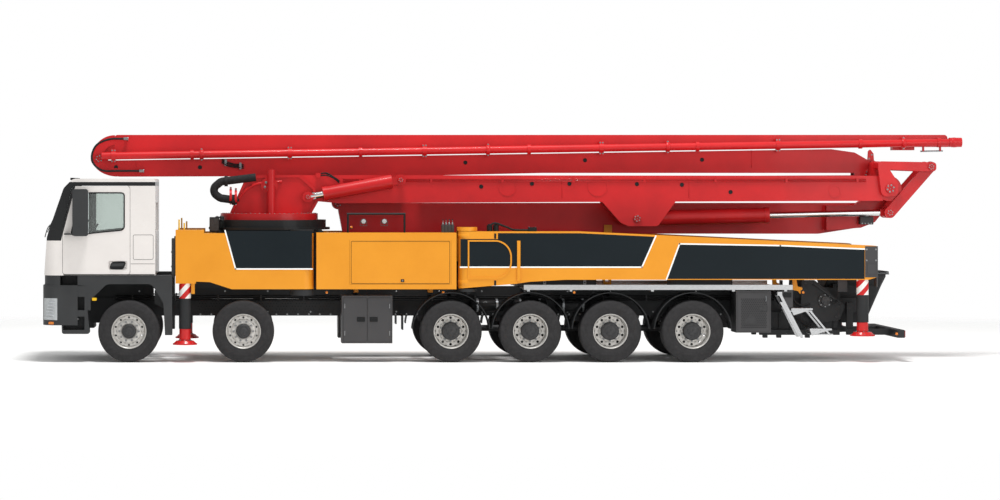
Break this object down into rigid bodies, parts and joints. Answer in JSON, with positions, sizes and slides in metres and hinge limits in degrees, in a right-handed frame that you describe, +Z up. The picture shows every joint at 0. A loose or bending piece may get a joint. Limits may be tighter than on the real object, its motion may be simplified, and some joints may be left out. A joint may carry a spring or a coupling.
{
  "type": "concrete pump truck",
  "caption": "Truck-mounted concrete pump with a folding placing boom, swing-out outriggers, steered front axles, and a hopper with pump at the rear.",
  "frame": {"origin": "on the ground, centre of the whole object's bounding box in plan", "axes": "+X to the rear of the truck, -Y to its left side, +Z up"},
  "size_m": [16.26, 2.88, 3.955],
  "materials": {
    "aluminium": "mill",
    "amber_paint": "gloss",
    "boom_red_paint": "gloss",
    "cab_glass": "clear",
    "chrome_rod": "ground",
    "dark_axle_paint": "semi-gloss",
    "dark_grey_plastic": "moulded",
    "galvanised_steel": "galvanised",
    "graphite_frame_paint": "semi-gloss",
    "grey_box_paint": "semi-gloss",
    "lamp_lens": "clear",
    "red_leg_paint": "semi-gloss",
    "tyre_rubber": "matt",
    "white_cab_paint": "gloss"
  },
  "bodies": {
    "chassis": {"axle_beams": "dark_axle_paint", "boom_rest": "graphite_frame_paint", "bumper_and_grille": "dark_grey_plastic", "cab_glass": "cab_glass", "cab_shell": "white_cab_paint", "cab_steps_and_fenders": "dark_grey_plastic", "chassis_frame": "graphite_frame_paint", "deck_and_ladders": "aluminium", "deck_tanks": "graphite_frame_paint", "engine_block": "graphite_frame_paint", "hopper": "graphite_frame_paint", "lamps": "lamp_lens", "lower_boxes": "grey_box_paint", "mudguards": "dark_grey_plastic", "pump_unit": "graphite_frame_paint", "support_frame": "graphite_frame_paint", "toolboxes": "amber_paint", "underrun_bar": "graphite_frame_paint"},
    "knuckle_1_left": {"knuckle_1_left": "dark_axle_paint"},
    "knuckle_1_right": {"knuckle_1_right": "dark_axle_paint"},
    "knuckle_2_left": {"knuckle_2_left": "dark_axle_paint"},
    "knuckle_2_right": {"knuckle_2_right": "dark_axle_paint"},
    "wheel_1_left": {"wheel_1_left": "tyre_rubber"},
    "wheel_1_right": {"wheel_1_right": "tyre_rubber"},
    "wheel_2_left": {"wheel_2_left": "tyre_rubber"},
    "wheel_2_right": {"wheel_2_right": "tyre_rubber"},
    "wheel_3_left": {"wheel_3_left": "tyre_rubber"},
    "wheel_3_right": {"wheel_3_right": "tyre_rubber"},
    "wheel_4_left": {"wheel_4_left": "tyre_rubber"},
    "wheel_4_right": {"wheel_4_right": "tyre_rubber"},
    "wheel_5_left": {"wheel_5_left": "tyre_rubber"},
    "wheel_5_right": {"wheel_5_right": "tyre_rubber"},
    "wheel_6_left": {"wheel_6_left": "tyre_rubber"},
    "wheel_6_right": {"wheel_6_right": "tyre_rubber"},
    "cab_door_left": {"cab_door_left": "white_cab_paint", "door_glass_left": "cab_glass"},
    "toolbox_door_left": {"toolbox_door_left": "amber_paint"},
    "front_outrigger_left": {"front_outrigger_left": "amber_paint"},
    "rear_outrigger_left": {"rear_outrigger_left": "amber_paint"},
    "front_leg_left": {"front_leg_left": "red_leg_paint"},
    "rear_leg_left": {"rear_leg_left": "red_leg_paint"},
    "cab_door_right": {"cab_door_right": "white_cab_paint", "door_glass_right": "cab_glass"},
    "toolbox_door_right": {"toolbox_door_right": "amber_paint"},
    "front_outrigger_right": {"front_outrigger_right": "amber_paint"},
    "rear_outrigger_right": {"rear_outrigger_right": "amber_paint"},
    "front_leg_right": {"front_leg_right": "red_leg_paint"},
    "rear_leg_right": {"rear_leg_right": "red_leg_paint"},
    "hopper_grate": {"hopper_grate": "galvanised_steel"},
    "turret": {"turret": "boom_red_paint"},
    "boom_arm_1": {"boom_arm_1": "boom_red_paint"},
    "boom_arm_2": {"boom_arm_2": "boom_red_paint"},
    "boom_arm_3": {"boom_arm_3": "boom_red_paint"},
    "boom_arm_4": {"boom_arm_4": "boom_red_paint"},
    "boom_arm_5": {"boom_arm_5": "boom_red_paint"},
    "lift_barrels": {"lift_barrels": "boom_red_paint"},
    "lift_rods": {"lift_rods": "chrome_rod"},
    "fold_barrel": {"fold_barrel": "boom_red_paint"},
    "fold_rod": {"fold_rod": "chrome_rod"},
    "fold_link": {"fold_link": "boom_red_paint"}
  },
  "joints": [
    {"name": "steer_1_left", "type": "hinge", "parent": "chassis", "child": "knuckle_1_left", "pos_m": [-6.636, -0.79, 0.535], "axis": [0, 0, 1], "range_deg": [-35, 35]},
    {"name": "steer_1_right", "type": "hinge", "parent": "chassis", "child": "knuckle_1_right", "pos_m": [-6.636, 0.79, 0.535], "axis": [0, 0, 1], "range_deg": [-35, 35]},
    {"name": "steer_2_left", "type": "hinge", "parent": "chassis", "child": "knuckle_2_left", "pos_m": [-4.66, -0.79, 0.535], "axis": [0, 0, 1], "range_deg": [-24, 24]},
    {"name": "steer_2_right", "type": "hinge", "parent": "chassis", "child": "knuckle_2_right", "pos_m": [-4.66, 0.79, 0.535], "axis": [0, 0, 1], "range_deg": [-24, 24]},
    {"name": "roll_1_left", "type": "hinge", "parent": "knuckle_1_left", "child": "wheel_1_left", "pos_m": [-6.636, -1.0575, 0.535], "axis": [0, 1, 0], "continuous": true},
    {"name": "roll_1_right", "type": "hinge", "parent": "knuckle_1_right", "child": "wheel_1_right", "pos_m": [-6.636, 1.0575, 0.535], "axis": [0, 1, 0], "continuous": true},
    {"name": "roll_2_left", "type": "hinge", "parent": "knuckle_2_left", "child": "wheel_2_left", "pos_m": [-4.66, -1.0575, 0.535], "axis": [0, 1, 0], "continuous": true},
    {"name": "roll_2_right", "type": "hinge", "parent": "knuckle_2_right", "child": "wheel_2_right", "pos_m": [-4.66, 1.0575, 0.535], "axis": [0, 1, 0], "continuous": true},
    {"name": "roll_3_left", "type": "hinge", "parent": "chassis", "child": "wheel_3_left", "pos_m": [-1.075, -1.0575, 0.535], "axis": [0, 1, 0], "continuous": true},
    {"name": "roll_3_right", "type": "hinge", "parent": "chassis", "child": "wheel_3_right", "pos_m": [-1.075, 1.0575, 0.535], "axis": [0, 1, 0], "continuous": true},
    {"name": "roll_4_left", "type": "hinge", "parent": "chassis", "child": "wheel_4_left", "pos_m": [0.296, -1.0575, 0.535], "axis": [0, 1, 0], "continuous": true},
    {"name": "roll_4_right", "type": "hinge", "parent": "chassis", "child": "wheel_4_right", "pos_m": [0.296, 1.0575, 0.535], "axis": [0, 1, 0], "continuous": true},
    {"name": "roll_5_left", "type": "hinge", "parent": "chassis", "child": "wheel_5_left", "pos_m": [1.677, -1.0575, 0.535], "axis": [0, 1, 0], "continuous": true},
    {"name": "roll_5_right", "type": "hinge", "parent": "chassis", "child": "wheel_5_right", "pos_m": [1.677, 1.0575, 0.535], "axis": [0, 1, 0], "continuous": true},
    {"name": "roll_6_left", "type": "hinge", "parent": "chassis", "child": "wheel_6_left", "pos_m": [3.097, -1.0575, 0.535], "axis": [0, 1, 0], "continuous": true},
    {"name": "roll_6_right", "type": "hinge", "parent": "chassis", "child": "wheel_6_right", "pos_m": [3.097, 1.0575, 0.535], "axis": [0, 1, 0], "continuous": true},
    {"name": "cab_door_left", "type": "hinge", "parent": "chassis", "child": "cab_door_left", "pos_m": [-7.775, -1.25, 1.6], "axis": [0, 0, -1], "range_deg": [0, 75]},
    {"name": "toolbox_door_left", "type": "hinge", "parent": "chassis", "child": "toolbox_door_left", "pos_m": [-2, -1.248, 2.1097], "axis": [-1, 0, 0], "range_deg": [0, 95]},
    {"name": "front_outrigger_left", "type": "hinge", "parent": "chassis", "child": "front_outrigger_left", "pos_m": [-3.64, -1.05, 1.75], "axis": [0, 0, 1], "range_deg": [0, 75]},
    {"name": "rear_outrigger_left", "type": "hinge", "parent": "chassis", "child": "rear_outrigger_left", "pos_m": [-0.79, -1.092, 1.75], "axis": [0, 0, -1], "range_deg": [0, 95]},
    {"name": "front_leg_left", "type": "slide", "parent": "front_outrigger_left", "child": "front_leg_left", "axis": [0, 0, -1], "range_m": [0, 0.9]},
    {"name": "rear_leg_left", "type": "slide", "parent": "rear_outrigger_left", "child": "rear_leg_left", "axis": [0, 0, -1], "range_m": [0, 0.9]},
    {"name": "cab_door_right", "type": "hinge", "parent": "chassis", "child": "cab_door_right", "pos_m": [-7.775, 1.25, 1.6], "axis": [0, 0, 1], "range_deg": [0, 75]},
    {"name": "toolbox_door_right", "type": "hinge", "parent": "chassis", "child": "toolbox_door_right", "pos_m": [-2, 1.248, 2.1097], "axis": [1, 0, 0], "range_deg": [0, 95]},
    {"name": "front_outrigger_right", "type": "hinge", "parent": "chassis", "child": "front_outrigger_right", "pos_m": [-3.64, 1.05, 1.75], "axis": [0, 0, -1], "range_deg": [0, 75]},
    {"name": "rear_outrigger_right", "type": "hinge", "parent": "chassis", "child": "rear_outrigger_right", "pos_m": [-0.79, 1.092, 1.75], "axis": [0, 0, 1], "range_deg": [0, 95]},
    {"name": "front_leg_right", "type": "slide", "parent": "front_outrigger_right", "child": "front_leg_right", "axis": [0, 0, -1], "range_m": [0, 0.9]},
    {"name": "rear_leg_right", "type": "slide", "parent": "rear_outrigger_right", "child": "rear_leg_right", "axis": [0, 0, -1], "range_m": [0, 0.9]},
    {"name": "hopper_grate", "type": "hinge", "parent": "chassis", "child": "hopper_grate", "pos_m": [5.95, 0, 1.5343], "axis": [0, -1, 0], "range_deg": [0, 85]},
    {"name": "boom_raise", "type": "hinge", "parent": "turret", "child": "boom_arm_1", "pos_m": [-4.2, 0, 3.05], "axis": [0, -1, 0], "range_deg": [0, 90]},
    {"name": "slew", "type": "hinge", "parent": "chassis", "child": "turret", "pos_m": [-4.2, 0, 2.45], "axis": [0, 0, 1], "range_deg": [0, 370]},
    {"name": "arm_2_fold", "type": "hinge", "parent": "boom_arm_1", "child": "boom_arm_2", "pos_m": [6.71, 0, 3], "axis": [0, 1, 0], "range_deg": [0, 182]},
    {"name": "arm_3_fold", "type": "hinge", "parent": "boom_arm_2", "child": "boom_arm_3", "pos_m": [-2.965, 0, 2.735], "axis": [0, -1, 0], "range_deg": [0, 182]},
    {"name": "arm_4_fold", "type": "hinge", "parent": "boom_arm_3", "child": "boom_arm_4", "pos_m": [6.5, 0, 3.255], "axis": [0, 1, 0], "range_deg": [0, 182]},
    {"name": "arm_5_fold", "type": "hinge", "parent": "boom_arm_4", "child": "boom_arm_5", "pos_m": [-7.23, 0, 3.53], "axis": [0, -1, 0], "range_deg": [0, 182]},
    {"name": "lift_barrel_swing", "type": "hinge", "parent": "boom_arm_1", "child": "lift_barrels", "pos_m": [-1.9, 0, 3.15], "axis": [0, -1, 0], "range_deg": [-1, 20]},
    {"name": "lift_rod_slide", "type": "slide", "parent": "lift_barrels", "child": "lift_rods", "axis": [-0.9834, 0, -0.1814], "range_m": [-0.01, 1]},
    {"name": "fold_barrel_swing", "type": "hinge", "parent": "boom_arm_1", "child": "fold_barrel", "pos_m": [2.275, 0, 2.47], "axis": [0, 1, 0], "range_deg": [-5, 5]},
    {"name": "fold_rod_slide", "type": "slide", "parent": "fold_barrel", "child": "fold_rod", "axis": [-0.9997, 0, -0.0232], "range_m": [-0.01, 1.85]},
    {"name": "fold_link_swing", "type": "hinge", "parent": "boom_arm_2", "child": "fold_link", "pos_m": [7.427, 0, 3.38], "axis": [0, -1, 0], "range_deg": [-2, 140]}
  ],
  "couplings": [
    {"joint": "steer_1_right", "follows": "steer_1_left", "ratio": 1},
    {"joint": "steer_2_left", "follows": "steer_1_left", "ratio": 0.64},
    {"joint": "steer_2_right", "follows": "steer_1_left", "ratio": 0.64},
    {"joint": "slew", "follows": "boom_raise", "ratio": 4},
    {"joint": "arm_2_fold", "follows": "boom_raise", "ratio": 2},
    {"joint": "arm_3_fold", "follows": "boom_raise", "ratio": 2},
    {"joint": "arm_4_fold", "follows": "boom_raise", "ratio": 2},
    {"joint": "arm_5_fold", "follows": "boom_raise", "ratio": 2},
    {"joint": "lift_barrel_swing", "follows": "boom_raise", "ratio": 0.0756},
    {"joint": "lift_rod_slide", "follows": "boom_raise", "m_per_rad": 0.6137},
    {"joint": "fold_barrel_swing", "follows": "boom_raise", "ratio": 0.005},
    {"joint": "fold_rod_slide", "follows": "boom_raise", "m_per_rad": 1.1459},
    {"joint": "fold_link_swing", "follows": "boom_raise", "ratio": 1.486}
  ]
}
